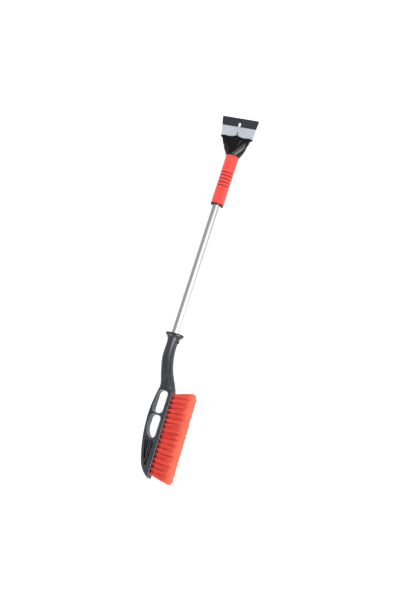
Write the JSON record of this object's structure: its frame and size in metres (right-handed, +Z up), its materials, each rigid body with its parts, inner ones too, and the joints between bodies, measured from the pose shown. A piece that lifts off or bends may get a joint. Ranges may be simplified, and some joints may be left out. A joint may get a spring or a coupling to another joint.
{
  "type": "windshield ice scraper",
  "caption": "Long snow brush with a D-shaped bristle head and moulded grip at one end of an aluminium pole, and a foam grip and fan-shaped ice scraper at the other.",
  "frame": {"origin": "centre of the tool's outer box, on the surface it lies on", "axes": "+Y along the pole towards the scraper, +X the side the bristles point to, +Z up from the surface the tool lies on"},
  "size_m": [0.1496, 0.8838, 0.0385],
  "materials": {
    "brush_plastic": "satin moulded charcoal",
    "bristles": "red filaments",
    "staple_wire": "bare wire",
    "aluminium_tube": "satin anodised",
    "rivet": "black",
    "end_ring": "matt black",
    "foam": "matt red foam",
    "head_plastic": "gloss black",
    "pin_steel": "bare steel",
    "blade_plastic": "glossy grey",
    "edge_plastic": "gloss black"
  },
  "bodies": {
    "root": {"brush_body": "brush_plastic", "bristle_row_1": "bristles", "bristle_row_2": "bristles", "bristle_row_3": "bristles", "bristle_row_4": "bristles", "tuft_staples": "staple_wire", "pole_tube": "aluminium_tube", "collar_rivet": "rivet", "grip_end_ring": "end_ring", "foam_grip": "foam", "scraper_head": "head_plastic", "head_pin": "pin_steel", "scraper_blade": "blade_plastic", "blade_edge": "edge_plastic"}
  },
  "joints": []
}
